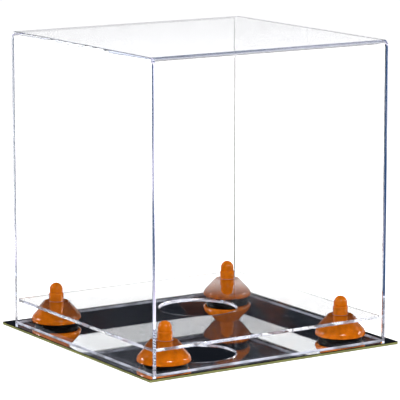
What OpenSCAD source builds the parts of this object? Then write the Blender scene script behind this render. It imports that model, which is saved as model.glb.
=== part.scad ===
// Ball display case: a clear five-sided cover that lifts straight off a mirrored base.
// Four bell-shaped risers stand on the mirror and hold a clear plate up, and a round
// hole in the middle of the plate seats the ball.
// The origin is the centre of the underside. +X runs right along the front, +Y to the
// back and +Z up.

/* [Base] */
// Width of the base along X
base_w = 280; // [220:1:420]
// Depth of the base along Y
base_d = 280; // [220:1:420]
// Thickness of the base sheet
base_t = 2.2; // [2.2:0.1:6]
// Thickness of the mirror sheet bonded on top of it
mirror_t = 0.8; // [0.5:0.1:3]
// Width of the 45 degree polish along the base's upper and lower edges
arris = 0.3; // [0.1:0.05:0.4]

/* [Cover] */
// Distance from the edge of the base in to the outside of the cover
cover_setback = 9; // [5:1:20]
// Height of the cover
cover_h = 291; // [120:1:500]
// Thickness of the cover's sheet
cover_t = 3; // [2:0.5:6]
// Inside radius of the two heat bends along the top
bend_r = 3; // [1:0.5:12]

/* [Riser plate] */
// Thickness of the plate
plate_t = 3; // [2:0.5:6]
// Gap from the plate's edge to the inside of the cover
plate_gap = 0.5; // [0.5:0.5:4]
// Diameter of the hole that seats the ball
seat_d = 76; // [30:1:100]
// Width of the bevel round the top of that hole, where the ball touches
seat_bevel = 0.8; // [0.3:0.1:1.5]
// Radius of the plate's corners
plate_corner_r = 2; // [1:0.5:8]

/* [Risers] */
// Distance from the plate's edge in to the rim of a bell
riser_margin = 3.5; // [0:0.5:20]
// Diameter of the bell at its rim
bell_d = 48.6; // [42:0.1:60]
// Height of the bell, from the underside of its rim to its shoulder
bell_h = 17.5; // [14:0.1:30]
// Diameter of the flat shoulder that carries the plate
shoulder_d = 24.5; // [20:0.5:28]
// Wall of the moulded bell
bell_wall = 2; // [1.5:0.1:2.5]
// Radius of the full curve above the rim
bell_round = 7.5; // [5:0.5:10]
// Radius of the rolled edge under the rim
lip_r = 1.5; // [0.8:0.1:1.5]
// Number of ribs inside each bell
bell_ribs = 6; // [3:1:8]

/* [Pegs] */
// Diameter of the lower part of a peg, which passes through the plate
peg_d = 14.4; // [11:0.1:16]
// Height of that lower part above the plate
peg_low_h = 8.3; // [4:0.1:20]
// Rounding of its upper edge
peg_shoulder_r = 1.8; // [0.5:0.1:2.4]
// Diameter of the upper part
peg_top_d = 13; // [10:0.1:14]
// Height of the upper part, with its domed end
peg_top_h = 9.5; // [8:0.1:25]
// Rounding of the upper part's lower edge, which leaves a groove between the two
peg_neck_r = 0.6; // [0.3:0.1:1]
// Diameter of the stem inside the bell
stem_d = 8; // [6.5:0.1:9]
// Clearance all round a peg in the plate's hole
peg_clear = 0.4; // [0.3:0.1:1]

/* [Feet] */
// Diameter of the foot that shows under the bell
foot_d = 42.5; // [36:0.5:43]
// Height of the foot, from the mirror to the underside of the rim
foot_h = 4.1; // [2:0.1:10]
// Height of the foot's spigot inside the mouth of the bell
spigot_h = 2; // [1:0.1:4]

/* [Screws] */
// Diameter of the screws' shank
screw_d = 3.5; // [3:0.1:4.5]
// Diameter of their countersunk head
screw_head_d = 7; // [6:0.1:9]
// Height of the countersink
screw_head_h = 1.8; // [1.5:0.1:2]
// Clearance round the shank in the holes it passes through
screw_clear = 0.3; // [0.1:0.1:0.5]

/* [Hidden] */
// Smoothness of the turned and rounded parts
$fn = 96;
// Radial clearance of a stem, spigot or thread in its seat
fit_clear = 0.1;
// Clearance all round a foot's spigot in the mouth of the bell
spigot_clear = 1;
// Rounding of a foot's lower edge
foot_edge = 0.5;
// Overlap that keeps a cut clear of the face it starts from
cut = 1;

mirror_top = base_t + mirror_t;
cover_w = base_w - 2 * cover_setback;
cover_d = base_d - 2 * cover_setback;
bell_bottom = mirror_top + foot_h;
plate_bottom = bell_bottom + bell_h;
plate_top = plate_bottom + plate_t;
plate_w = cover_w - 2 * (cover_t + plate_gap);
plate_d = cover_d - 2 * (cover_t + plate_gap);
riser_x = plate_w / 2 - riser_margin - bell_d / 2;
riser_y = plate_d / 2 - riser_margin - bell_d / 2;
// Where the four risers stand: front left, front right, back left, back right
RISER_AT = [[-riser_x, -riser_y], [riser_x, -riser_y], [-riser_x, riser_y], [riser_x, riser_y]];

// Bell section: a curve of radius bell_round rises from the rim and runs tangent into
// a straight flank, which ends at the edge of the shoulder.
rim_r = bell_d / 2;
round_at = [rim_r - bell_round, lip_r];
shoulder_at = [shoulder_d / 2, bell_h];
reach = shoulder_at - round_at;
flank_tilt = atan2(reach.y, reach.x) - acos(bell_round / norm(reach));
flank_out = [cos(flank_tilt), sin(flank_tilt)];
flank_up = [-sin(flank_tilt), cos(flank_tilt)];

// Inside the bell
boss_wall = 2;
boss_d = stem_d + 2 * (fit_clear + boss_wall);
rib_t = 1.2;
rib_gap = 1;

// Peg and screw
stem_short = 0.5;
stem_bottom = bell_bottom + spigot_h + stem_short;
peg_top = plate_top + peg_low_h + peg_top_h;
pilot_end = 3;
pilot_top = plate_top - pilot_end;
screw_sink = 0.1;
screw_tip_gap = 1;
screw_tip_h = 2;
slot_w = 1;
slot_depth = 1.1;

// Puts its children at one corner's riser.
module at_riser(i) {
    translate([RISER_AT[i].x, RISER_AT[i].y, 0]) children();
}

// Flat sheet, centred on Z, with the edges of the face at height face_z polished to a
// small bevel.
module polished_sheet(w, d, t, face_z) {
    bevel = arris * sqrt(2);
    difference() {
        translate([-w / 2, -d / 2, 0]) cube([w, d, t]);
        for (side = [-1, 1]) {
            translate([side * w / 2, 0, face_z]) rotate([0, 45, 0])
                cube([bevel, d + 2 * cut, bevel], center = true);
            translate([0, side * d / 2, face_z]) rotate([45, 0, 0])
                cube([w + 2 * cut, bevel, bevel], center = true);
        }
    }
}

// Countersunk hole for a screw, opening downwards at z = 0.
module screw_hole(length) {
    wide = screw_clear + screw_sink;
    translate([0, 0, -cut]) cylinder(d = screw_d + 2 * screw_clear, h = length + 2 * cut);
    translate([0, 0, -cut]) cylinder(d = screw_head_d + 2 * wide, h = cut + screw_sink);
    translate([0, 0, screw_sink])
        cylinder(d1 = screw_head_d + 2 * wide, d2 = screw_d + 2 * screw_clear, h = screw_head_h);
}

module base_sheet() {
    color([0.42, 0.44, 0.16]) difference() {
        polished_sheet(base_w, base_d, base_t, 0);
        for (i = [0:3]) at_riser(i) screw_hole(base_t);
    }
}

module mirror_sheet() {
    color([0.75, 0.77, 0.79]) translate([0, 0, base_t]) difference() {
        polished_sheet(base_w, base_d, mirror_t, mirror_t);
        for (i = [0:3]) at_riser(i)
            translate([0, 0, -cut]) cylinder(d = screw_d + 2 * screw_clear, h = mirror_t + 2 * cut);
    }
}

// Plan of the plate: a rectangle with rounded corners.
module plate_plan() {
    union() {
        square([plate_w - 2 * plate_corner_r, plate_d], center = true);
        square([plate_w, plate_d - 2 * plate_corner_r], center = true);
        for (x = [-1, 1], y = [-1, 1])
            translate([x * (plate_w / 2 - plate_corner_r), y * (plate_d / 2 - plate_corner_r)])
                circle(r = plate_corner_r);
    }
}

module riser_plate() {
    color([0.86, 0.94, 0.97, 0.35]) translate([0, 0, plate_bottom]) difference() {
        linear_extrude(plate_t) plate_plan();
        translate([0, 0, -cut]) cylinder(d = seat_d, h = plate_t + 2 * cut, $fn = 180);
        translate([0, 0, plate_t - seat_bevel])
            cylinder(d1 = seat_d, d2 = seat_d + 4 * seat_bevel, h = 2 * seat_bevel, $fn = 180);
        for (i = [0:3]) at_riser(i)
            translate([0, 0, -cut]) cylinder(d = peg_d + 2 * peg_clear, h = plate_t + 2 * cut);
    }
}

// Outline of the cover seen from its side, with the two upper corners rounded.
module cover_outline(d, h, r) {
    union() {
        translate([-d / 2, 0]) square([d, h - r]);
        translate([-d / 2 + r, 0]) square([d - 2 * r, h]);
        for (side = [-1, 1]) translate([side * (d / 2 - r), h - r]) circle(r = r);
    }
}

// Stands an outline drawn in Y and Z upright and gives it a length along X.
module along_x(length) {
    translate([-length / 2, 0, 0]) rotate([90, 0, 90]) linear_extrude(length) children();
}

// One sheet bent twice: front, top and back of the cover.
module cover_wrap() {
    color([0.86, 0.94, 0.97, 0.3]) translate([0, 0, mirror_top])
        along_x(cover_w - 2 * cover_t) difference() {
            cover_outline(cover_d, cover_h, bend_r + cover_t);
            translate([0, -cut]) cover_outline(cover_d - 2 * cover_t, cover_h - cover_t + cut, bend_r);
        }
}

// Flat side panel, cemented over the ends of the bent sheet. side is -1 left, 1 right.
module cover_panel(side) {
    color([0.86, 0.94, 0.97, 0.3]) translate([side * (cover_w - cover_t) / 2, 0, mirror_top])
        along_x(cover_t) cover_outline(cover_d, cover_h, bend_r + cover_t);
}

// Rubber disc under a bell, with a spigot that centres the bell's mouth.
module foot() {
    spigot_r = min(foot_d / 2, rim_r - bell_wall) - spigot_clear;
    color([0.05, 0.05, 0.06]) translate([0, 0, mirror_top]) difference() {
        union() {
            cylinder(d1 = foot_d - 2 * foot_edge, d2 = foot_d, h = foot_edge);
            translate([0, 0, foot_edge]) cylinder(d = foot_d, h = foot_h - foot_edge);
            cylinder(r = spigot_r, h = foot_h + spigot_h);
        }
        translate([0, 0, -cut])
            cylinder(d = screw_d + 2 * screw_clear, h = foot_h + spigot_h + 2 * cut);
    }
}

// Half section of the bell, shrunk by in all round: 0 gives the outside, the wall's
// thickness gives the cavity.
module bell_section(in) {
    top = bell_h - in;
    tangent_at = round_at + (bell_round - in) * flank_out;
    flank_end = tangent_at + (top - tangent_at.y) / flank_up.y * flank_up;
    lip = max(lip_r - in, 0);
    foot_at = rim_r - in - lip;
    floor_z = in > 0 ? -cut : 0;
    union() {
        polygon([[0, floor_z], [foot_at, floor_z], [foot_at, lip_r], tangent_at, flank_end, [0, top]]);
        if (lip > 0) translate([foot_at, lip_r]) circle(r = lip);
        intersection() {
            translate(round_at) circle(r = bell_round - in);
            translate([0, lip_r]) square([rim_r, bell_h]);
        }
    }
}

// Hollow moulded bell with a central boss for the peg's stem and ribs out to the wall.
module bell() {
    color([0.93, 0.45, 0.05]) translate([0, 0, bell_bottom]) difference() {
        union() {
            difference() {
                rotate_extrude() bell_section(0);
                rotate_extrude() bell_section(bell_wall);
            }
            translate([0, 0, spigot_h]) cylinder(d = boss_d, h = bell_h - bell_wall - spigot_h + fit_clear);
            intersection() {
                rotate_extrude() bell_section(bell_wall / 2);
                for (k = [0:bell_ribs - 1]) rotate([0, 0, k * 360 / bell_ribs])
                    translate([boss_d / 2 - fit_clear, -rib_t / 2, spigot_h + rib_gap])
                        cube([rim_r, rib_t, bell_h]);
            }
        }
        translate([0, 0, -cut]) cylinder(d = stem_d + 2 * fit_clear, h = bell_h + 2 * cut);
    }
}

// Half section of a peg above its stem: a collar with a rounded shoulder, and on it a
// domed end that is rounded in at its foot.
module peg_section() {
    low_r = peg_d / 2;
    top_r = peg_top_d / 2;
    step_z = plate_top + peg_low_h;
    neck_z = step_z + peg_neck_r;
    dome_z = peg_top - top_r;
    union() {
        translate([0, plate_bottom]) square([low_r, step_z - peg_shoulder_r - plate_bottom]);
        translate([0, plate_bottom]) square([low_r - peg_shoulder_r, step_z - plate_bottom]);
        translate([low_r - peg_shoulder_r, step_z - peg_shoulder_r]) circle(r = peg_shoulder_r);
        translate([0, plate_top]) square([top_r - peg_neck_r, dome_z - plate_top]);
        translate([0, neck_z]) square([top_r, dome_z - neck_z]);
        translate([top_r - peg_neck_r, neck_z]) circle(r = peg_neck_r);
        intersection() {
            translate([0, dome_z]) circle(r = top_r);
            translate([0, plate_top]) square([top_r, peg_top]);
        }
    }
}

// Turned peg: a stem down inside the bell, a collar through the plate and a domed end.
module peg() {
    color([0.93, 0.45, 0.05]) difference() {
        union() {
            translate([0, 0, stem_bottom]) cylinder(d = stem_d, h = plate_bottom - stem_bottom + fit_clear);
            rotate_extrude() peg_section();
        }
        translate([0, 0, stem_bottom - cut])
            cylinder(d = screw_d + 2 * fit_clear, h = pilot_top - stem_bottom + cut);
    }
}

// Countersunk screw that pulls peg, bell and foot down on to the base.
module screw() {
    tip_z = pilot_top - screw_tip_gap;
    color([0.72, 0.73, 0.75]) difference() {
        union() {
            translate([0, 0, screw_sink])
                cylinder(d1 = screw_head_d, d2 = screw_d, h = screw_head_h);
            translate([0, 0, screw_sink]) cylinder(d = screw_d, h = tip_z - screw_tip_h - screw_sink);
            translate([0, 0, tip_z - screw_tip_h]) cylinder(d1 = screw_d, d2 = screw_d / 4, h = screw_tip_h);
        }
        for (turn = [0, 90]) rotate([0, 0, turn])
            translate([0, 0, screw_sink]) cube([screw_head_d * 0.55, slot_w, 2 * slot_depth], center = true);
    }
}

module riser_screws() {
    for (i = [0:3]) at_riser(i) screw();
}

base_sheet();
mirror_sheet();
riser_plate();
cover_wrap();
cover_panel(-1);  // cover_panel_left
cover_panel(1);  // cover_panel_right
at_riser(0) foot();  // foot_front_left
at_riser(1) foot();  // foot_front_right
at_riser(2) foot();  // foot_back_left
at_riser(3) foot();  // foot_back_right
at_riser(0) bell();  // bell_front_left
at_riser(1) bell();  // bell_front_right
at_riser(2) bell();  // bell_back_left
at_riser(3) bell();  // bell_back_right
at_riser(0) peg();  // peg_front_left
at_riser(1) peg();  // peg_front_right
at_riser(2) peg();  // peg_back_left
at_riser(3) peg();  // peg_back_right
riser_screws();
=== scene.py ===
"""Ball display case: the finish of every surface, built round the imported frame.

Everything is in metres, in the frame's own axes: the origin is the centre of the
underside, +X runs right along the front, +Y to the back and +Z up.
"""

import math

import bpy
import numpy as np
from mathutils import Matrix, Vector


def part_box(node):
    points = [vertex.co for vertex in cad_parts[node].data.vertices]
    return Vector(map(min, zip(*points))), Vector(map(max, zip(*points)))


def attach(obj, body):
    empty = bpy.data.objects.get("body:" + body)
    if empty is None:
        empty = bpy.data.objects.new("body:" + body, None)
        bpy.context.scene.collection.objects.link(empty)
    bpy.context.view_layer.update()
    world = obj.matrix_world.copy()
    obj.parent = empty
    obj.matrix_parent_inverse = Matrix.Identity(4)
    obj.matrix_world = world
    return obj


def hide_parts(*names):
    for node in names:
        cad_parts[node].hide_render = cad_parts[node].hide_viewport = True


bl_info = {
    "name": "Ball display case",
    "version": (1, 0, 0),
    "blender": (4, 5, 0),
    "location": "View3D > Sidebar > Display Case",
    "description": "Builds the visible pieces of a ball display case round its frame",
    "category": "Object",
}

MM = 0.001
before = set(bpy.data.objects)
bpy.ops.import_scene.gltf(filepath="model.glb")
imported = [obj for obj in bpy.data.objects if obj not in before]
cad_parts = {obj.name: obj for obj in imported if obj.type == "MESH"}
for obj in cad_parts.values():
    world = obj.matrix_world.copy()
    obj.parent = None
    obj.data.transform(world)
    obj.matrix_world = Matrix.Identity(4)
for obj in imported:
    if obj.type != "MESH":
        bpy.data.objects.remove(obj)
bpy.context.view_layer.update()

CORNERS = ("front_left", "front_right", "back_left", "back_right")
COVER_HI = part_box("cover_wrap")[1]
PANEL_LO, PANEL_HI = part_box("cover_panel_left")
BELL_LO, BELL_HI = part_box("bell_front_left")
PEG_LO, PEG_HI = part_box("peg_front_left")
FOOT_LO, FOOT_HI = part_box("foot_front_left")
PLATE_LO, PLATE_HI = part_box("riser_plate")
# Neighbouring faces that meet at less than this many degrees shade as one: the facets of a
# bend do, and its bevels don't.
BEND_SMOOTH, MOULDED_SMOOTH, FOOT_SMOOTH = 10, 40, 30
# Facets round a bell, and round a peg or a foot.
BELL_TURNS, PEG_TURNS = 128, 96
# Refractive index of the sheets, and of the moulded plastic and the rubber.
ACRYLIC_IOR, MOULDED_IOR = 1.49, 1.5


def centre_of(node):
    """Middle of a node's box in plan."""
    lo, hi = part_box(node)
    return (lo.x + hi.x) / 2, (lo.y + hi.y) / 2


# ---------------------------------------------------------------- settings


def length(text, words, default, low=0.0001, high=1.0):
    """A size in metres, shown in the scene's unit."""
    return bpy.props.FloatProperty(
        name=text, description=words, default=default, min=low, max=high, unit="LENGTH", precision=4
    )


def colour(text, words, default):
    """A linear colour."""
    return bpy.props.FloatVectorProperty(
        name=text, description=words, default=default, size=3, min=0.0, max=1.0, subtype="COLOR"
    )


def factor(text, words, default):
    """A number from 0 to 1."""
    return bpy.props.FloatProperty(
        name=text, description=words, default=default, min=0.0, max=1.0, subtype="FACTOR"
    )


class AcrylicSettings(bpy.types.PropertyGroup):
    """Clear sheet of the cover and of the seat plate."""

    bend: length("Bend radius", "Inside radius of the heat bends", 3 * MM)
    arris: length("Edge polish", "Width of the polished bevel along an edge", 0.35 * MM)
    joint: length("Joint gap", "Film between the bent sheet and a side panel", 0.02 * MM, 0.0)
    rest_gap: length("Rest gap", "Air left under the cover's lower edge", 0.04 * MM, 0.0)
    tint: colour("Edge tint", "Colour left by a long way through the sheet", (0.34, 0.60, 0.84))
    depth: bpy.props.FloatProperty(
        name="Tint density", description="Absorption per metre", default=1.0, min=0.0, max=50.0
    )
    sawn: colour("Sawn edge", "Colour of a matt cut edge", (0.74, 0.75, 0.86))
    scrape: length("Scraped edge", "Height of the matt bevel along the cover's lower edge", 0.9 * MM)
    cover_light: factor("Light through cover", "Share of light that the cover lets through", 0.97)
    plate_light: factor("Light through plate", "Share of light that the seat plate lets through", 0.75)
    plate_sawn: factor("Plate edge", "How matt the seat plate's cut edges are", 0.34)
    haze: factor("Haze", "Roughness of the polished faces", 0.0)


class RiserSettings(bpy.types.PropertyGroup):
    """Bells, pegs and feet."""

    orange: colour("Plastic", "Colour of the moulded bells and pegs", (0.72, 0.165, 0.003))
    rubber: colour("Rubber", "Colour of the feet", (0.0018, 0.0018, 0.002))
    bell_wall: length("Bell wall", "Wall of the moulded bell", 2 * MM)
    bell_round: length("Bell curve", "Radius of the full curve above the rim", 7.5 * MM)
    lip: length("Rim roll", "Radius of the rolled edge under the rim", 1.5 * MM)
    shoulder: length("Shoulder", "Diameter of the flat that carries the plate", 24.5 * MM)
    shoulder_edge: length("Shoulder edge", "Rounding of the shoulder's edge", 0.9 * MM)
    boss: length("Boss", "Diameter of the boss round the peg's stem", 12.2 * MM)
    bore: length("Boss bore", "Diameter of the bore for the stem", 8.2 * MM)
    boss_rise: length("Boss rise", "Height of the boss above the rim", 2 * MM)
    stem: length("Stem", "Diameter of the peg's stem inside the bell", 8 * MM)
    tip: length("Tip", "Diameter of the peg's domed upper part", 13 * MM)
    tip_rise: length("Tip height", "Height of the peg's upper part", 9.5 * MM)
    tip_neck: length("Neck", "Rounding of the upper part's foot", 0.6 * MM)
    collar_round: length("Collar shoulder", "Rounding of the peg's lower part", 1.8 * MM)
    foot_edge: length("Foot edge", "Rounding of the rubber foot's edges", 0.5 * MM)
    spigot: length("Spigot", "Diameter of the foot's spigot in the bell", 40.5 * MM)
    spigot_rise: length("Spigot height", "Height of that spigot", 2 * MM)
    screw_hole: length("Screw hole", "Diameter of the hole through the foot", 4.1 * MM)


class MirrorSettings(bpy.types.PropertyGroup):
    """Mirror sheet and the base sheet under it."""

    silver: colour("Silvering", "Colour of what the mirror gives back", (0.86, 0.88, 0.90))
    rim: colour("Mirror edge", "Colour of the mirror sheet's cut edge", (0.02, 0.024, 0.014))
    edge: colour("Edge", "Colour along the base sheet's edge", (0.29, 0.30, 0.10))
    backing: colour("Backing", "Paint on the underside", (0.10, 0.10, 0.105))


class StageSettings(bpy.types.PropertyGroup):
    """Floor, studio walls and lamps."""

    floor_size: length("Floor", "Side of the square floor", 24.0, 1.0, 100.0)
    floor: colour("Floor", "Colour of the floor", (0.90, 0.90, 0.90))
    floor_lift: factor("Floor lift", "Light added to the floor where the camera sees it", 0.66)
    glass_lift: bpy.props.FloatProperty(
        name="Glass lift", description="Light added to the floor seen through the cover", default=1.3,
        min=0.0,
    )
    plate_lift: bpy.props.FloatProperty(
        name="Plate lift", description="Light added to the floor seen through the plate as well",
        default=1.6, min=0.0,
    )
    skylight: factor("Skylight", "Strength of the soft light from all round", 0.40)
    lamp_power: bpy.props.FloatProperty(
        name="Lamps", description="Power of a lamp in watts", default=9.0, min=0.0, max=500.0
    )
    lens: bpy.props.FloatProperty(
        name="Lens", description="Focal length in millimetres", default=228.9, min=10.0, max=1000.0
    )
    camera_at: bpy.props.FloatVectorProperty(
        name="Camera", description="Where the camera stands", default=(-1.3080, -2.0474, 0.5696),
        size=3, subtype="XYZ_LENGTH", unit="LENGTH",
    )
    look_at: bpy.props.FloatVectorProperty(
        name="Target", description="Point that the camera faces", default=(0.00242, -0.00155, 0.1335),
        size=3, subtype="XYZ_LENGTH", unit="LENGTH",
    )


# ---------------------------------------------------------------- meshes


def piece(name, points, faces, body, material, stands_for, smooth_under):
    """A closed mesh from an array of points and lists of corner numbers. It rides on a body,
    stands in for a CAD node and takes one material in one slot.

    If the faces enclose a negative volume, all are turned round, so that they point out.
    smooth_under is the angle in degrees up to which neighbouring faces shade as one.
    """
    mesh = bpy.data.meshes.new(name)
    mesh.from_pydata(points.tolist(), [], [list(f) for f in faces])
    mesh.update()
    mesh.calc_loop_triangles()
    corners = np.empty(len(mesh.loop_triangles) * 3, np.int32)
    mesh.loop_triangles.foreach_get("vertices", corners)
    a, b, c = points[corners.reshape(-1, 3)].transpose(1, 0, 2)
    if np.einsum("ij,ij->", a, np.cross(b, c)) < 0:
        mesh.flip_normals()
    mesh.shade_smooth()
    mesh.set_sharp_from_angle(angle=math.radians(smooth_under))
    mesh.materials.append(material)
    ob = bpy.data.objects.new(name, mesh)
    bpy.context.scene.collection.objects.link(ob)
    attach(ob, body)
    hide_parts(stands_for)
    return ob


def arc(centre, radius, start, end, steps):
    """Points on a circle: centre + radius * (cos a, sin a), a from start to end degrees."""
    a = np.radians(np.linspace(start, end, steps + 1))
    return np.stack([centre[0] + radius * np.cos(a), centre[1] + radius * np.sin(a)], 1)


def turned(profile, centre, turns):
    """Surface of revolution: a profile point (r, z) at turn t stands at
    (cx + r cos t, cy + r sin t, z). A profile that starts and ends on the axis is
    closed there by a single point, and any other profile closes on itself.
    """
    r, z = profile[:, 0], profile[:, 1]
    poles = r[0] == 0 and r[-1] == 0
    rows = slice(1, -1) if poles else slice(None)
    t = np.linspace(0, 2 * math.pi, turns, endpoint=False)
    rr, tt = np.meshgrid(r[rows], t, indexing="ij")
    zz = np.repeat(z[rows][:, None], turns, 1)
    points = np.stack([centre[0] + rr * np.cos(tt), centre[1] + rr * np.sin(tt), zz], -1).reshape(-1, 3)
    n = rr.shape[0]
    i, j = np.meshgrid(np.arange(n - 1 if poles else n), np.arange(turns), indexing="ij")
    k, m = (i + 1) % n, (j + 1) % turns
    faces = np.stack([i * turns + j, i * turns + m, k * turns + m, k * turns + j], -1)
    faces = faces.reshape(-1, 4).tolist()
    if poles:
        ends = np.array([[*centre, z[0]], [*centre, z[-1]]])
        top, low = len(points), len(points) + 1
        points = np.concatenate([points, ends])
        a, b = np.arange(turns), (np.arange(turns) + 1) % turns
        last = (n - 1) * turns
        faces += np.stack([np.full(turns, top), b, a], 1).tolist()
        faces += np.stack([np.full(turns, low), last + a, last + b], 1).tolist()
    return points, faces


def bent_sheet_path(depth, bottom, top, bend, wall, bevel, rise, steps=24):
    """Outer and inner line of a sheet that rises at the front, bends over and falls at the
    back, in (Y, Z). Both lines have their bends about the same centres, and at their lower
    ends a bevel takes them into the sheet's thickness over that rise.
    """
    y, z = depth / 2 - bend - wall, top - bend - wall
    lines = []
    for r, half, foot in ((bend + wall, depth / 2, depth / 2 - bevel),
                          (bend, depth / 2 - wall, depth / 2 - wall + bevel)):
        lines.append(np.concatenate([
            [[-foot, bottom], [-half, bottom + rise]],
            arc((-y, z), r, 180, 90, steps),
            arc((y, z), r, 90, 0, steps),
            [[half, bottom + rise], [foot, bottom]],
        ]))
    return lines


def between(line_a, line_b, xs_a, xs_b):
    """Closed solid between two lines in (Y, Z), carried along X from one pair of places to
    the other: the four edge lines are joined in a ring and the two ends are ladders of quads.
    """
    n = len(line_a)
    rings = [(xs_a[0], line_a), (xs_a[1], line_a), (xs_b[1], line_b), (xs_b[0], line_b)]
    points = np.concatenate([
        np.column_stack([np.full(n, x), line]) for x, line in rings
    ])
    k = np.arange(n - 1)
    faces = []
    for a in range(4):
        b = (a + 1) % 4
        faces += np.stack([a * n + k, a * n + k + 1, b * n + k + 1, b * n + k], 1).tolist()
    faces += [[a * n for a in range(4)], [a * n + n - 1 for a in reversed(range(4))]]
    return points, faces


def panel_outline(depth, low, top, round_r, inset=0.0, steps=24):
    """Closed outline in (Y, Z): square below, with a quarter circle at each upper corner."""
    y, z, r = depth / 2 - round_r, top - round_r, round_r - inset
    return np.concatenate([
        [[-depth / 2 + inset, low]],
        arc((-y, z), r, 180, 90, steps),
        arc((y, z), r, 90, 0, steps),
        [[depth / 2 - inset, low]],
    ])


def stacked(rings):
    """Closed solid through equal closed rings of points, with a flat face over each end."""
    n = len(rings[0])
    points = np.concatenate(rings)
    a, b = np.arange(n), (np.arange(n) + 1) % n
    faces = []
    for i in range(len(rings) - 1):
        faces += np.stack([i * n + a, i * n + b, (i + 1) * n + b, (i + 1) * n + a], 1).tolist()
    last = (len(rings) - 1) * n
    faces += [list(range(n))[::-1], list(range(last, last + n))]
    return points, faces


# ---------------------------------------------------------------- materials


class Finish:
    """One material's node tree, built a node at a time."""

    def __init__(self, name, kind="Material"):
        kept_in = bpy.data.materials if kind == "Material" else bpy.data.worlds
        self.material = kept_in.new(name)
        self.material.use_nodes = True
        self.tree = self.material.node_tree
        self.tree.nodes.clear()
        self.out = self.tree.nodes.new("ShaderNodeOutput" + kind)

    def node(self, kind, **values):
        """A node with its sockets set or linked by name; a leading _ sets a property."""
        made = self.tree.nodes.new(kind)
        for key, value in values.items():
            if key.startswith("_"):
                setattr(made, key[1:], value)
        for key, value in values.items():
            if not key.startswith("_"):
                self.put(made.inputs[key.replace("_", " ")], value)
        return made

    def put(self, socket, value):
        """Links an output to a socket, or sets its value."""
        if isinstance(value, bpy.types.NodeSocket):
            self.tree.links.new(value, socket)
        elif isinstance(value, (tuple, list)) and len(value) == 3 and socket.type == "RGBA":
            socket.default_value = (*value, 1)
        else:
            socket.default_value = value

    def place(self):
        """The point on the object, in metres."""
        return self.node("ShaderNodeTexCoord").outputs["Object"]

    def noise(self, scale, detail, rough=0.5):
        """Value of a noise with features about 1 / scale metres wide."""
        return self.node(
            "ShaderNodeTexNoise", Vector=self.place(), Scale=scale, Detail=detail, Roughness=rough
        ).outputs["Fac"]

    def span(self, value, low, high, from_low=0.0, from_high=1.0):
        """value moved from one range to another, and kept inside it."""
        return self.node(
            "ShaderNodeMapRange", Value=value, From_Min=from_low, From_Max=from_high,
            To_Min=low, To_Max=high,
        ).outputs["Result"]

    def blend(self, amount, a, b):
        """Colour a where amount is 0, and b where it is 1."""
        mix = self.node("ShaderNodeMix", _data_type="RGBA")
        self.put(mix.inputs["Factor"], amount)
        self.put(mix.inputs[6], a)
        self.put(mix.inputs[7], b)
        return mix.outputs[2]

    def ramp(self, value, stops, kind="LINEAR"):
        """Colour for a value from 0 to 1, between stops of (place, colour)."""
        made = self.node("ShaderNodeValToRGB", Fac=value)
        bar = made.color_ramp
        bar.interpolation = kind
        for i, (at, shade) in enumerate(stops):
            stop = bar.elements[i] if i < 2 else bar.elements.new(at)
            stop.position, stop.color = at, (*shade, 1)
        return made.outputs["Color"]

    def maths(self, kind, a, b=0.0):
        """One sum with one or two numbers."""
        made = self.node("ShaderNodeMath", _operation=kind)
        self.put(made.inputs[0], a)
        self.put(made.inputs[1], b)
        return made.outputs[0]

    def mix(self, amount, a, b):
        """Shader a where amount is 0, and b where it is 1."""
        made = self.node("ShaderNodeMixShader", Fac=amount)
        self.put(made.inputs[1], a)
        self.put(made.inputs[2], b)
        return made.outputs[0]

    def both(self, a, b):
        """Two shaders added together."""
        made = self.node("ShaderNodeAddShader")
        self.put(made.inputs[0], a)
        self.put(made.inputs[1], b)
        return made.outputs[0]

    def along(self, vector, way):
        """How far a vector reaches along a fixed direction."""
        made = self.node("ShaderNodeVectorMath", _operation="DOT_PRODUCT")
        self.put(made.inputs[0], vector)
        made.inputs[1].default_value = way
        return made.outputs["Value"]

    def bump(self, height, depth):
        """Normals of a surface raised by height times depth metres."""
        made = self.node("ShaderNodeBump", Height=height, Distance=depth, Strength=1.0)
        return made.outputs["Normal"]

    def done(self, shader, volume=None):
        """Joins the shader to the output."""
        self.put(self.out.inputs["Surface"], shader)
        if volume is not None:
            self.put(self.out.inputs["Volume"], volume)
        return self.material


def facing_up(f):
    """1 on faces that look up, 0 on sides and undersides."""
    return f.along(f.node("ShaderNodeNewGeometry").outputs["Normal"], (0, 0, 1))


def sawn_face(f, settings):
    """Matt saw-cut face: fine cut marks, brighter and darker in short runs."""
    mark = f.noise(900.0, 3.0, 0.7)
    run = f.noise(60.0, 2.0)
    pale = tuple(settings.sawn)
    shade = f.blend(f.span(run, 0.0, 1.0, 0.40, 0.60), pale, tuple(c * 0.45 for c in pale))
    return f.node(
        "ShaderNodeBsdfPrincipled", Base_Color=shade, Roughness=0.6, IOR=ACRYLIC_IOR,
        Normal=f.bump(mark, 0.03 * MM),
    ).outputs[0]


def sawn_acrylic(settings):
    """Saw-cut and scraped lower edge of the cover."""
    f = Finish("sawn_acrylic")
    return f.done(sawn_face(f, settings))


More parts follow.
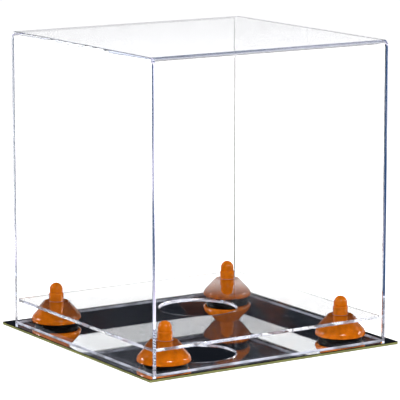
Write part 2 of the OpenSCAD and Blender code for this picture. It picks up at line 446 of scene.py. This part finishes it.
def clear_acrylic(settings, name, passed, sawn=0.0):
    """Polished clear sheet, faintly wavy: it bends and mirrors what is looked at through it,
    and takes on a faint blue over a long way inside. passed is the share of lamp and
    diffuse light that goes straight through, and sawn is how matt its cut edges are.
    """
    f = Finish(name)
    wave = f.noise(7.0, 1.0)
    glass = f.node(
        "ShaderNodeBsdfPrincipled", Base_Color=(1.0, 1.0, 1.0), Roughness=settings.haze,
        IOR=ACRYLIC_IOR, Transmission_Weight=1.0, Normal=f.bump(wave, 0.04 * MM),
    )
    light = f.node("ShaderNodeLightPath").outputs
    through = f.maths("MAXIMUM", light["Is Shadow Ray"], light["Is Diffuse Ray"])
    clear = f.node("ShaderNodeBsdfTransparent", Color=(passed, passed, passed))
    tint = f.node("ShaderNodeVolumeAbsorption", Color=tuple(settings.tint), Density=settings.depth)
    face = glass.outputs[0]
    if sawn:
        upright = f.span(f.maths("ABSOLUTE", facing_up(f)), sawn, 0.0, 0.3, 0.6)
        face = f.mix(upright, face, sawn_face(f, settings))
    return f.done(f.mix(through, face, clear.outputs[0]), tint.outputs[0])


def orange_plastic(settings):
    """Glossy moulded plastic: darker flow marks, and a dimpled skin and rubbed patches that
    break up its gloss. Bells and pegs share it.
    """
    if "moulded_orange" in bpy.data.materials:
        return bpy.data.materials["moulded_orange"]
    f = Finish("moulded_orange")
    base = tuple(settings.orange)
    deep = tuple(c * 0.66 for c in base)
    flow = f.noise(190.0, 4.0, 0.65)
    skin = f.noise(700.0, 3.0)
    rub = f.noise(420.0, 3.0)
    shader = f.node(
        "ShaderNodeBsdfPrincipled", Base_Color=f.blend(f.span(flow, 0.0, 1.0, 0.35, 0.7), base, deep),
        Roughness=f.span(rub, 0.06, 0.13, 0.3, 0.75), IOR=MOULDED_IOR, Normal=f.bump(skin, 0.03 * MM),
    )
    return f.done(shader.outputs[0])


def foot_rubber(settings):
    """Black rubber: a fine grain, paler where it has been rubbed."""
    f = Finish("black_rubber")
    base = tuple(settings.rubber)
    grain = f.noise(3200.0, 3.0)
    worn = f.noise(160.0, 4.0)
    shader = f.node(
        "ShaderNodeBsdfPrincipled",
        Base_Color=f.blend(f.span(worn, 0.0, 1.0, 0.45, 0.8), base, tuple(c * 2.2 for c in base)),
        Roughness=f.span(worn, 0.25, 0.4), IOR=MOULDED_IOR, Specular_IOR_Level=0.12,
        Normal=f.bump(grain, 0.01 * MM),
    )
    return f.done(shader.outputs[0])


def mirror_silver(settings):
    """Silvered sheet: faint smears on the silvering, and a dark line along its cut edge."""
    f = Finish("silvered_sheet")
    smear = f.noise(24.0, 4.0, 0.6)
    up = f.span(facing_up(f), 0.0, 1.0, 0.2, 0.8)
    silver = tuple(settings.silver)
    wiped = f.blend(f.span(smear, 0.0, 1.0, 0.35, 0.8), silver, tuple(c * 0.93 for c in silver))
    shader = f.node(
        "ShaderNodeBsdfPrincipled", Base_Color=f.blend(up, tuple(settings.rim), wiped), Metallic=1.0,
        Roughness=0.0,
    )
    return f.done(shader.outputs[0])


def base_edge(settings):
    """Base sheet: olive along its cut edge, clouded and finely specked, with dark grey paint
    on the underside.
    """
    f = Finish("olive_sheet")
    cloud = f.noise(60.0, 3.0)
    speck = f.noise(900.0, 2.0)
    olive = tuple(settings.edge)
    dark = tuple(c * 0.6 for c in olive)
    down = f.span(f.maths("MULTIPLY", facing_up(f), -1.0), 0.0, 1.0, 0.4, 0.9)
    side = f.blend(f.span(cloud, 0.0, 1.0, 0.35, 0.7), olive, dark)
    shader = f.node(
        "ShaderNodeBsdfPrincipled", Base_Color=f.blend(down, side, tuple(settings.backing)),
        Roughness=f.span(speck, 0.22, 0.5), IOR=ACRYLIC_IOR, Normal=f.bump(speck, 0.02 * MM),
    )
    return f.done(shader.outputs[0])


def screw_steel():
    """Zinc-plated steel with fine turning marks."""
    f = Finish("zinc_plate")
    mark = f.noise(1800.0, 2.0)
    shader = f.node(
        "ShaderNodeBsdfPrincipled", Base_Color=f.blend(mark, (0.55, 0.56, 0.58), (0.78, 0.79, 0.80)),
        Metallic=1.0, Roughness=f.span(mark, 0.22, 0.42), Normal=f.bump(mark, 0.01 * MM),
    )
    return f.done(shader.outputs[0])


def finish_node(node, material):
    """Gives a CAD node's own mesh this material."""
    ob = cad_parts[node]
    ob.data.materials.clear()
    ob.data.materials.append(material)


# ---------------------------------------------------------------- pieces


def matt_foot(ob, level, material):
    """Puts a second material on the faces that lie wholly at or below a level."""
    ob.data.materials.append(material)
    z = np.empty(len(ob.data.vertices) * 3)
    ob.data.vertices.foreach_get("co", z)
    low = z[2::3] < level + 0.001 * MM
    for face in ob.data.polygons:
        if low[list(face.vertices)].all():
            face.material_index = 1


class CASE_OT_cover(bpy.types.Operator):
    """Builds the bent sheet and the two side panels of the cover"""

    bl_idname = "case.cover"
    bl_label = "Cover"

    def execute(self, context):
        s = context.scene.case_acrylic
        sheet, sawn = clear_acrylic(s, "cover_acrylic", s.cover_light), sawn_acrylic(s)
        wall = PANEL_HI.x - PANEL_LO.x
        depth = PANEL_HI.y - PANEL_LO.y
        bottom, top = PANEL_LO.z + s.rest_gap, PANEL_HI.z
        outer, inner = bent_sheet_path(depth, bottom, top, s.bend, wall, s.arris, s.scrape)
        reach = COVER_HI.x - s.joint
        points, faces = between(outer, inner, (-reach, reach), (-reach, reach))
        ob = piece("cover_bent_sheet", points, faces, "cover", sheet,
                   "cover_wrap", BEND_SMOOTH)
        matt_foot(ob, bottom + s.scrape, sawn)
        for side, word in ((-1, "left"), (1, "right")):
            face_in, face_out = side * COVER_HI.x, side * (COVER_HI.x + wall)
            rings = []
            for x, inset, low in (
                (face_in, 0, bottom + s.scrape), (face_in + side * s.arris, 0, bottom),
                (face_out - side * s.arris, 0, bottom), (face_out, s.arris, bottom + s.scrape),
            ):
                line = panel_outline(depth, low, top, s.bend + wall, inset)
                rings.append(np.column_stack([np.full(len(line), x), line]))
            points, faces = stacked(rings)
            ob = piece(f"cover_side_{word}", points, faces, "cover", sheet,
                       f"cover_panel_{word}", BEND_SMOOTH)
            matt_foot(ob, bottom + s.scrape, sawn)
        return {"FINISHED"}


class CASE_OT_plate(bpy.types.Operator):
    """Finishes the clear plate that seats the ball"""

    bl_idname = "case.plate"
    bl_label = "Seat plate"

    def execute(self, context):
        s = context.scene.case_acrylic
        sheet = clear_acrylic(s, "plate_acrylic", s.plate_light, s.plate_sawn)
        finish_node("riser_plate", sheet)
        return {"FINISHED"}


class CASE_OT_base(bpy.types.Operator):
    """Finishes the mirror and the base sheet under it"""

    bl_idname = "case.base"
    bl_label = "Mirrored base"

    def execute(self, context):
        s = context.scene.case_mirror
        finish_node("mirror_sheet", mirror_silver(s))
        finish_node("base_sheet", base_edge(s))
        return {"FINISHED"}


# Rounding of the bell's small edges inside and round its bore.
BELL_INNER_EDGE = 0.3 * MM
# How much narrower a peg's collar gets down to the plate's underside.
COLLAR_DRAFT = 0.15 * MM


def bell_profile(s):
    """Closed section of the hollow bell in (r, z), from the rim's outside up and round."""
    rim, low, high = (BELL_HI.x - BELL_LO.x) / 2, BELL_LO.z, BELL_HI.z

    def flank(inward, edge):
        """Where the curve above the rim ends, and the straight flank's tilt, drawn inward."""
        centre = np.array([rim - s.bell_round, low + s.lip])
        corner = np.array([s.shoulder / 2, high]) - centre
        tilt = math.atan2(corner[1], corner[0]) - math.acos(s.bell_round / np.hypot(*corner))
        out, up = np.array([math.cos(tilt), math.sin(tilt)]), np.array([-math.sin(tilt), math.cos(tilt)])
        start = centre + (s.bell_round - inward) * out
        roof = high - inward
        end = start + up * (roof - start[1]) / up[1]
        half = math.radians((90 - math.degrees(tilt)) / 2)
        back = edge * math.tan(half)
        fillet = (end[0] - back, roof - edge)
        return centre, math.degrees(tilt), fillet

    centre, tilt, fillet = flank(0, s.shoulder_edge)
    outside = [
        arc((rim - s.lip, low + s.lip), s.lip, -90, 0, 8)[:-1],
        arc(centre, s.bell_round, 0, tilt, 16),
        arc(fillet, s.shoulder_edge, tilt, 90, 8),
    ]
    soft = BELL_INNER_EDGE
    bore, boss, foot = s.bore / 2, s.boss / 2, low + s.boss_rise
    boss_part = [
        arc((bore + soft, high - soft), soft, 90, 180, 4),
        [[bore, foot], [boss, foot], [boss, high - s.bell_wall]],
    ]
    centre, tilt, fillet = flank(s.bell_wall, soft)
    inside = [
        arc(fillet, soft, 90, tilt, 4),
        arc(centre, s.bell_round - s.bell_wall, tilt, 0, 12),
        [[rim - s.bell_wall, low]],
    ]
    return np.concatenate([*outside, *boss_part, *inside])


class CASE_OT_bells(bpy.types.Operator):
    """Turns the four moulded bells"""

    bl_idname = "case.bells"
    bl_label = "Bells"

    def execute(self, context):
        s = context.scene.case_riser
        plastic = orange_plastic(s)
        for corner in CORNERS:
            node = "bell_" + corner
            points, faces = turned(bell_profile(s), centre_of(node), BELL_TURNS)
            piece("riser_" + node, points, faces, "base", plastic, node, MOULDED_SMOOTH)
        return {"FINISHED"}


def peg_profile(s):
    """Section of a peg in (r, z), from the top of its dome down to the middle of its stem."""
    collar, tip, stem = (PEG_HI.x - PEG_LO.x) / 2, s.tip / 2, s.stem / 2
    top, step = PEG_HI.z, PEG_HI.z - s.tip_rise
    return np.concatenate([
        [[0, top]],
        arc((0, top - tip), tip, 86, 0, 20),
        arc((tip - s.tip_neck, step + s.tip_neck), s.tip_neck, 0, -70, 5),
        arc((collar - s.collar_round, step - s.collar_round), s.collar_round, 76, 0, 8),
        [[collar - COLLAR_DRAFT / 2, (step + PLATE_HI.z) / 2], [collar - COLLAR_DRAFT, PLATE_LO.z]],
        [[stem, PLATE_LO.z], [stem, PEG_LO.z], [0, PEG_LO.z]],
    ])


class CASE_OT_pegs(bpy.types.Operator):
    """Turns the four pegs that stand through the plate"""

    bl_idname = "case.pegs"
    bl_label = "Pegs"

    def execute(self, context):
        s = context.scene.case_riser
        plastic = orange_plastic(s)
        for corner in CORNERS:
            node = "peg_" + corner
            points, faces = turned(peg_profile(s), centre_of(node), PEG_TURNS)
            piece("riser_" + node, points, faces, "base", plastic, node, MOULDED_SMOOTH)
        return {"FINISHED"}


def foot_profile(s):
    """Closed section of a foot in (r, z): a disc with rounded edges, its spigot and its hole."""
    edge, wide, hole = s.foot_edge, (FOOT_HI.x - FOOT_LO.x) / 2, s.screw_hole / 2
    low, high, spigot = FOOT_LO.z, FOOT_HI.z - s.spigot_rise, s.spigot / 2
    return np.concatenate([
        [[hole, low]],
        arc((wide - edge, low + edge), edge, -90, 0, 5),
        arc((wide - edge, high - edge), edge, 0, 90, 5),
        [[spigot, high], [spigot, FOOT_HI.z], [hole, FOOT_HI.z]],
    ])


class CASE_OT_feet(bpy.types.Operator):
    """Turns the rubber foot under each bell"""

    bl_idname = "case.feet"
    bl_label = "Feet"

    def execute(self, context):
        s = context.scene.case_riser
        rubber = foot_rubber(s)
        for corner in CORNERS:
            node = "foot_" + corner
            points, faces = turned(foot_profile(s), centre_of(node), PEG_TURNS)
            piece("riser_" + node, points, faces, "base", rubber, node, FOOT_SMOOTH)
        return {"FINISHED"}


class CASE_OT_screws(bpy.types.Operator):
    """Finishes the countersunk screws under the base"""

    bl_idname = "case.screws"
    bl_label = "Screws"

    def execute(self, context):
        finish_node("riser_screws", screw_steel())
        return {"FINISHED"}


# ---------------------------------------------------------------- stage

# Studio wall behind the case, as (degrees above the horizon, colour), and its span.
SWEEP_SPAN = (6.0, 13.5)
SWEEP = (
    (6.0, (0.76, 0.76, 0.76)), (8.0, (0.82, 0.82, 0.82)), (10.5, (1.0, 1.0, 1.0)),
    (12.05, (0.90, 0.90, 0.90)), (12.35, (0.03, 0.032, 0.04)), (12.6, (0.010, 0.012, 0.017)),
)
# The rest of the studio is dark, and the wall fades in over this range of how squarely a
# direction points away from the camera.
STUDIO_DARK = (0.010, 0.011, 0.014)
WALL_FADE = (0.0, 0.35)
# Share of the floor's light shown after glancing off 0, 1, 2 and more faces.
FLOOR_SHARES = (1.0, 0.0, 1.4, 0.0)
# Faces that a view straight through the cover passes; through the plate there are more.
COVER_FACES = 4
# Light that has run along inside a sheet has glanced off more faces than this before it
# reaches the floor, or the walls. Light across the top sheet stays below the third number.
GUIDED_OVER, GUIDED_OVER_WALLS, GUIDED_ACROSS = 9.5, 4.5, 20.5
# Its colours on the floor, by place: 0 is behind the case and 1 in front of it. Light
# across the top sheet has one colour. All are multiplied by GUIDED_POWER. They are painted
# light: the floor glows in them only for this light, as painted reflections along the sheets' edges.
GUIDED = (
    (0.0, (0.005, 0.016, 0.042)), (0.05, (0.02, 0.028, 0.052)), (0.12, (0.19, 0.16, 0.20)),
    (0.35, (0.30, 0.27, 0.30)), (0.5, (0.060, 0.070, 0.085)), (0.92, (0.060, 0.070, 0.085)),
    (0.97, (0.98, 0.88, 0.86)),
)
GUIDED_TOP = (0.60, 0.56, 0.52)
GUIDED_POWER = 5.0
# Its colour on the walls: painted light, seen only by this light, that brightens the sheets' edges.
GUIDED_ABOVE = (1.50, 1.45, 1.60)
# Light turned in a bend and sent up at the walls: it has passed more faces than the first
# number and fewer than the second, and has this colour, a painted light that shows in the bends.
BEND_FACES = (0.5, 3.5)
BEND_ABOVE = (0.50, 0.52, 0.60)
# Lamps as (degrees round to the right of the camera, degrees up, share of the power)
LAMPS = ((20, 34, 1.15), (102, 20, 0.35), (-100, 22, 1.0))
LAMP_REACH = 1.3
LAMP_SIZE = (0.36, 0.26)
LAMP_AIM = (0.0, 0.0, 0.05)
# The floor lies this far under the case, so that the two share no face.
FLOOR_DROP = 0.2 * MM
SENSOR_WIDTH = 36.0
# How often light may turn in all, glance off faces, pass faces and pass clear faces.
TURNS, GLANCES, PASSES, CLEAR_PASSES = 110, 110, 64, 24


def gaze_of(s):
    """Level direction in which the camera looks."""
    return (Vector(s.look_at) - Vector(s.camera_at)).xy.normalized().to_3d()


def floor_paint(s):
    """Pale floor that keeps shadows. It is lifted to white where the camera sees it, more
    so through the cover, and more again through the seat plate as well. Light that has
    glanced off faces on its way shows the share of the floor that FLOOR_SHARES gives for
    their number, and light that has run along inside a sheet shows the guided colours: a
    painted glow, which shows only as painted reflections along the sheets' edges.
    """
    f = Finish("floor_paint")
    light = f.node("ShaderNodeLightPath").outputs
    last = len(FLOOR_SHARES)
    share = f.ramp(f.span(light["Glossy Depth"], 0.0, 1.0, -0.5, last - 0.5),
                   [(i / last, (part,) * 3) for i, part in enumerate(FLOOR_SHARES)], "CONSTANT")
    matt = f.node("ShaderNodeBsdfDiffuse", Color=f.blend(share, (0, 0, 0), tuple(s.floor)))
    indirect = f.maths("MAXIMUM", light["Is Transmission Ray"], light["Is Glossy Ray"])
    panes = f.span(light["Transmission Depth"], s.glass_lift, s.plate_lift,
                   COVER_FACES, COVER_FACES + 1)
    lift = f.node("ShaderNodeEmission", Strength=f.maths(
        "ADD", f.maths("MULTIPLY", light["Is Camera Ray"], s.floor_lift),
        f.maths("MULTIPLY", indirect, f.maths("MULTIPLY", share, panes)),
    ))
    way = f.node("ShaderNodeVectorMath", _operation="NORMALIZE")
    f.put(way.inputs[0], f.place())
    forward = f.along(way.outputs["Vector"], -gaze_of(s))
    hue = f.ramp(f.span(forward, 0.0, 1.0, -1.0, 1.0), GUIDED)
    across = f.maths("LESS_THAN", light["Glossy Depth"], GUIDED_ACROSS)
    guided = f.maths("GREATER_THAN", light["Glossy Depth"], GUIDED_OVER)
    guided = f.maths("MULTIPLY", indirect, guided)
    # Painted light: a glow in the guided colours, seen only by light run along inside a sheet, that
    # paints reflections into the sheets' edges.
    glow = f.node("ShaderNodeEmission", Color=f.blend(across, hue, GUIDED_TOP),
                  Strength=f.maths("MULTIPLY", guided, GUIDED_POWER))
    return f.done(f.both(matt.outputs[0], f.both(lift.outputs[0], glow.outputs[0])))


def studio_world(s):
    """Soft light from all round. The camera sees white, straight and through clear sheet.
    What is mirrored is a studio: dark, with a white wall low down behind the case. Light
    that has run along inside a sheet, or turned in a bend, shows a plain colour: painted
    light, which shows only along the sheets' edges and bends.
    """
    f = Finish("studio", "World")
    where = f.node("ShaderNodeTexCoord").outputs["Generated"]
    rise = f.maths("DEGREES", f.maths("ARCSINE", f.along(where, (0, 0, 1))))
    low, high = SWEEP_SPAN
    wall = f.ramp(f.span(rise, 0.0, 1.0, low, high),
                  [((degrees - low) / (high - low), shade) for degrees, shade in SWEEP])
    behind = f.along(where, gaze_of(s))
    mirrored = f.blend(f.span(behind, 0.0, 1.0, *WALL_FADE), STUDIO_DARK, wall)
    light = f.node("ShaderNodeLightPath").outputs
    glanced = f.maths("GREATER_THAN", light["Glossy Depth"], 0.5)
    straight = f.maths("MULTIPLY", light["Is Transmission Ray"], f.maths("SUBTRACT", 1.0, glanced))
    fewest, most = BEND_FACES
    bent = f.maths("MULTIPLY", glanced, f.maths("LESS_THAN", light["Transmission Depth"], most))
    bent = f.maths("MULTIPLY", bent, f.maths("GREATER_THAN", light["Transmission Depth"], fewest))
    guided = f.maths("GREATER_THAN", light["Glossy Depth"], GUIDED_OVER_WALLS)
    # Painted light: plain colours for light run along inside a sheet or turned in a bend, seen in the
    # sheets' edges and bends.
    mirrored = f.blend(guided, f.blend(bent, mirrored, BEND_ABOVE), GUIDED_ABOVE)
    indirect = f.maths("MAXIMUM", light["Is Glossy Ray"], light["Is Transmission Ray"])
    clear = f.maths("MAXIMUM", light["Is Camera Ray"], straight)
    soft = f.node("ShaderNodeBackground", Color=(1.0, 1.0, 1.0), Strength=s.skylight)
    studio = f.node("ShaderNodeBackground", Color=mirrored, Strength=1.0)
    white = f.node("ShaderNodeBackground", Color=(1.0, 1.0, 1.0), Strength=1.0)
    lit = f.mix(indirect, soft.outputs[0], studio.outputs[0])
    return f.done(f.mix(clear, lit, white.outputs[0]))


class CASE_OT_stage(bpy.types.Operator):
    """Sets the floor, the studio, its lamps and the camera"""

    bl_idname = "case.stage"
    bl_label = "Stage"

    def execute(self, context):
        s = context.scene.case_stage
        scene = context.scene
        half = s.floor_size / 2
        mesh = bpy.data.meshes.new("floor")
        corners = np.array([[-half, -half, 0], [half, -half, 0], [half, half, 0], [-half, half, 0]])
        mesh.from_pydata((corners - [0, 0, FLOOR_DROP]).tolist(), [], [[0, 1, 2, 3]])
        mesh.materials.append(floor_paint(s))
        floor = bpy.data.objects.new("floor", mesh)
        scene.collection.objects.link(floor)
        scene.world = studio_world(s)

        camera_data = bpy.data.cameras.new("camera")
        camera_data.lens = s.lens
        camera_data.sensor_width = SENSOR_WIDTH
        camera_data.clip_start, camera_data.clip_end = 0.05, 100.0
        camera = bpy.data.objects.new("camera", camera_data)
        camera.location = s.camera_at
        gaze = Vector(s.look_at) - Vector(s.camera_at)
        camera.rotation_mode = "QUATERNION"
        camera.rotation_quaternion = gaze.to_track_quat("-Z", "Y")
        scene.collection.objects.link(camera)
        scene.camera = camera

        forward = math.atan2(-gaze.y, -gaze.x)
        for k, (round_by, up_by, share) in enumerate(LAMPS):
            turn, rise = forward + math.radians(round_by), math.radians(up_by)
            lamp = bpy.data.lights.new(f"lamp_{k}", "AREA")
            lamp.shape, lamp.energy = "RECTANGLE", s.lamp_power * share
            lamp.size, lamp.size_y = LAMP_SIZE
            ob = bpy.data.objects.new(f"lamp_{k}", lamp)
            ob.location = LAMP_REACH * Vector((
                math.cos(rise) * math.cos(turn), math.cos(rise) * math.sin(turn), math.sin(rise)
            ))
            ob.rotation_mode = "QUATERNION"
            ob.rotation_quaternion = (Vector(LAMP_AIM) - ob.location).to_track_quat("-Z", "Y")
            ob.visible_camera = False
            scene.collection.objects.link(ob)

        scene.view_settings.view_transform = "Standard"
        scene.cycles.max_bounces = TURNS
        scene.cycles.glossy_bounces = GLANCES
        scene.cycles.transmission_bounces = PASSES
        scene.cycles.transparent_max_bounces = CLEAR_PASSES
        return {"FINISHED"}


class CASE_PT_panel(bpy.types.Panel):
    """Lists the sizes and colours, and builds each group of pieces"""

    bl_idname = "CASE_PT_panel"
    bl_label = "Display Case"
    bl_space_type = "VIEW_3D"
    bl_region_type = "UI"
    bl_category = "Display Case"

    def draw(self, context):
        for title, name, operators in SECTIONS:
            box = self.layout.box()
            box.label(text=title)
            settings = getattr(context.scene, name)
            for prop in settings.__annotations__:
                box.prop(settings, prop)
            for operator in operators:
                box.operator(operator.bl_idname)


SECTIONS = (
    ("Clear sheet", "case_acrylic", (CASE_OT_cover, CASE_OT_plate)),
    ("Base", "case_mirror", (CASE_OT_base,)),
    ("Risers", "case_riser", (CASE_OT_bells, CASE_OT_pegs, CASE_OT_feet, CASE_OT_screws)),
    ("Stage", "case_stage", (CASE_OT_stage,)),
)
GROUPS = {
    "case_acrylic": AcrylicSettings, "case_mirror": MirrorSettings,
    "case_riser": RiserSettings, "case_stage": StageSettings,
}
OPERATORS = tuple(op for _, _, ops in SECTIONS for op in ops)


def register():
    for cls in (*GROUPS.values(), *OPERATORS, CASE_PT_panel):
        bpy.utils.register_class(cls)
    for name, cls in GROUPS.items():
        setattr(bpy.types.Scene, name, bpy.props.PointerProperty(type=cls))


def unregister():
    for name in GROUPS:
        delattr(bpy.types.Scene, name)
    for cls in (CASE_PT_panel, *reversed(OPERATORS), *reversed(GROUPS.values())):
        bpy.utils.unregister_class(cls)


def main():
    register()
    for operator in OPERATORS:
        group, name = operator.bl_idname.split(".")
        getattr(getattr(bpy.ops, group), name)()


if __name__ == "__main__":
    main()
